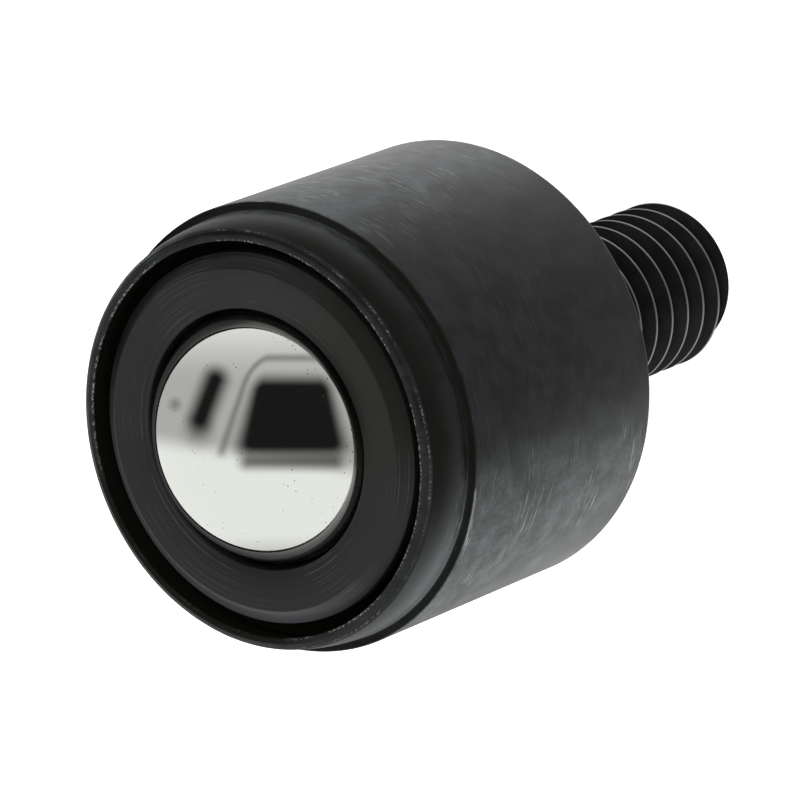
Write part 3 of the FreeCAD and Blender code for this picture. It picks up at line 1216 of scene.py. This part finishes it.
@dataclass
class CapRing:
    """The bevelled ring between the lip and the load ball. Sizes are millimetres."""

    rim_radius: float = 6.52
    bevel_width: float = 0.5
    bevel_height: float = 0.38
    dish: float = 0.1
    hole_radius: float = 4.6025
    lead_depth: float = 0.4
    flange_thickness: float = 0.9
    recess_radius: float = 5.7675
    recess_depth: float = 1.4
    ball_gap: float = 0.06
    edge: float = 0.04
    land_points: int = 4
    radius: float = field(init=False)
    bottom: float = field(init=False)
    top: float = field(init=False)

    def __post_init__(self) -> None:
        """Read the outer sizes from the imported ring."""
        low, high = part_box("cap_ring")
        self.radius, self.bottom, self.top = high.x / MM, low.z / MM, high.z / MM

    def land(self, neck_height: float, ceiling: float) -> list[Corner]:
        """Return the points of the round land that keeps the ball in, from the top down.

        Args:
            neck_height: Height of its narrow end.
            ceiling: Height of the recess below it.

        Returns:
            The points.
        """
        low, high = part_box("load_ball")
        middle = (low.z + high.z) / 2 / MM
        reach = high.x / MM + self.ball_gap
        heights = [neck_height + (ceiling - neck_height) * step / self.land_points
                   for step in range(self.land_points + 1)]
        return [Corner(math.sqrt(reach ** 2 - (height - middle) ** 2), height)
                for height in heights]

    def build(self) -> list[Piece]:
        """Build and dress the ring, and return the finished pieces."""
        ceiling = self.bottom + self.recess_depth
        hole_top = self.top - self.dish
        shoulder = self.bottom + self.flange_thickness
        ring = turn_piece("bevelled_cap_ring", [
            Corner(self.recess_radius, self.bottom),
            Corner(self.radius, self.bottom),
            Corner(self.radius, shoulder),
            Corner(self.rim_radius, shoulder),
            Corner(self.rim_radius, self.top - self.bevel_height, self.edge),
            Corner(self.rim_radius - self.bevel_width, self.top, self.edge),
            Corner(self.hole_radius, hole_top, self.edge),
            *self.land(hole_top - self.lead_depth, ceiling),
            Corner(self.recess_radius, ceiling),
        ], closed=True)
        ring.data.materials.append(BluedCap().dress(
            self.rim_radius - self.bevel_width, self.rim_radius, self.top - self.bevel_height))
        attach(ring, Body.HOUSING.value)
        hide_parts("cap_ring")
        return [ring]


@dataclass(frozen=True)
class PolishedBallSteel:
    """Through-hardened chrome steel, lapped to a mirror, with pinprick pits and dust that
    gathers at one side. Sizes are millimetres."""

    colour: str = "#f1f2ef"
    pit: str = "#55554f"
    roughness: float = 0.035
    pit_spacing: float = 0.22
    pit_size: Steps = (0.05, 0.16, 1.0, 0.0)
    pit_roughness: float = 0.4
    dust: float = 1.4
    dust_steps: Steps = (0.5, 0.64)
    dusty_sector: Sector = (-20.0, 70.0, 25.0)
    dusty_band: Steps = (3.4, 4.3)
    haze: float = 0.03

    def dress(self, name: str) -> bpy.types.Material:
        """Make the material."""
        material, tree = new_material(name)
        place = Round.of(tree)
        cells = add_node(tree, "TexVoronoi", {"Vector": place.spot,
                                              "Scale": 1 / self.pit_spacing})
        wiped = product(place.window(*self.dusty_sector),
                        fade(place.radius, *self.dusty_band))
        scatter = largest(wiped, fade(noise(place.spot, self.dust, 3.0),
                                            *self.dust_steps))
        pits = product(fade(cells.outputs["Distance"], *self.pit_size), scatter)
        colour = blend(pits, self.colour, self.pit)
        haze = calc("MULTIPLY_ADD", scatter, self.haze, self.roughness)
        roughness = calc("MULTIPLY_ADD", pits, self.pit_roughness, haze)
        shader = add_node(tree, "BsdfPrincipled", {
            "Base Color": colour, "Metallic": 1.0, "Roughness": roughness})
        add_node(tree, "OutputMaterial", {"Surface": shader.outputs[0]})
        return material


@dataclass
class LoadBall:
    """The polished ball that carries the load."""

    cuts: int = 47

    def build(self) -> list[Piece]:
        """Build and dress the ball, and return the finished pieces."""
        low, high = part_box("load_ball")
        middle = (low + high) / 2
        radius = (high.z - low.z) / 2
        bpy.ops.object.select_all(action="DESELECT")
        bpy.ops.mesh.primitive_cube_add(size=2 * radius)
        ball = bpy.context.object
        ball.name = ball.data.name = "polished_load_ball"
        bpy.ops.object.mode_set(mode="EDIT")
        bpy.ops.mesh.select_all(action="SELECT")
        bpy.ops.mesh.subdivide(number_cuts=self.cuts)
        bpy.ops.object.mode_set(mode="OBJECT")
        apply_modifier(ball, "CAST", cast_type="SPHERE", factor=1.0, use_radius_as_size=False,
                       size=radius)
        ball.location = middle
        bpy.ops.object.transform_apply(location=True)
        smooth(ball, 60.0)
        ball.data.materials.append(PolishedBallSteel().dress("lapped_ball_steel"))
        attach(ball, Body.LOAD_BALL.value)
        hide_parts("load_ball")
        return [ball]


@dataclass(frozen=True)
class HiddenFinishes:
    """Finishes of the pieces inside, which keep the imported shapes."""

    cup: str = "#a9aaab"
    cup_line: str = "#8c8d8f"
    cup_line_width: float = 0.08
    cup_roughness: Steps = (0.3, 0.7, 0.24, 0.36)
    felt: str = "#3f3a34"
    fibre: str = "#5b544b"
    fibre_width: float = 0.06
    felt_roughness: float = 0.92
    felt_sheen: float = 0.2
    felt_relief: float = 0.02

    def ground_steel(self) -> bpy.types.Material:
        """Make hardened steel with a ground seat: grey, with a fine uneven grain."""
        material, tree = new_material("ground_cup_steel")
        lines = noise(places_in_mm(tree), self.cup_line_width)
        colour = blend(lines, self.cup, self.cup_line)
        roughness = fade(lines, *self.cup_roughness)
        shader = add_node(tree, "BsdfPrincipled", {
            "Base Color": colour, "Metallic": 1.0, "Roughness": roughness})
        add_node(tree, "OutputMaterial", {"Surface": shader.outputs[0]})
        return material

    def oiled_felt(self) -> bpy.types.Material:
        """Make dense wool felt, dark with oil: short matted fibres."""
        material, tree = new_material("oiled_felt")
        fibres = noise(places_in_mm(tree), self.fibre_width, 6.0)
        colour = blend(fibres, self.felt, self.fibre)
        bump = add_node(tree, "Bump", {"Height": fibres, "Distance": self.felt_relief * MM})
        shader = add_node(tree, "BsdfPrincipled", {
            "Base Color": colour, "Roughness": self.felt_roughness, "Sheen Weight": self.felt_sheen,
            "Normal": bump.outputs[0]})
        add_node(tree, "OutputMaterial", {"Surface": shader.outputs[0]})
        return material

    def dress(self, nodes: dict[str, Piece]) -> None:
        """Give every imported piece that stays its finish.

        Args:
            nodes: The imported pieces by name.
        """
        finishes = {"ball_cup": self.ground_steel(), "felt_seal": self.oiled_felt()}
        ball_steel = PolishedBallSteel().dress("bearing_ball_steel")
        for name, piece in nodes.items():
            if name.startswith("bearing_ball") or name in finishes:
                piece.data.materials.clear()
                piece.data.materials.append(finishes.get(name, ball_steel))


def report(pieces: Iterable[Piece]) -> None:
    """Log each finished piece with its number of faces."""
    for piece in pieces:
        log.info("%s: %d faces", piece.name, len(piece.data.polygons))


def main() -> None:
    """Build the castor's looks, its studio and its camera."""
    logging.basicConfig(level=logging.INFO, format="%(name)s %(message)s")
    housing = Housing()
    for part in (housing, Stud(), CapRing(), LoadBall()):
        report(part.build())
    HiddenFinishes().dress(frame["nodes"])
    camera = PhotoCamera()
    camera.place(housing.lip_height * MM)
    Surroundings().dress(camera)
    studio = Studio()
    studio.lay_floor(CAD_BOX[0][2])
    studio.hang_lamps()
    bpy.context.scene.view_settings.view_transform = "Standard"


if __name__ == "__main__":
    main()
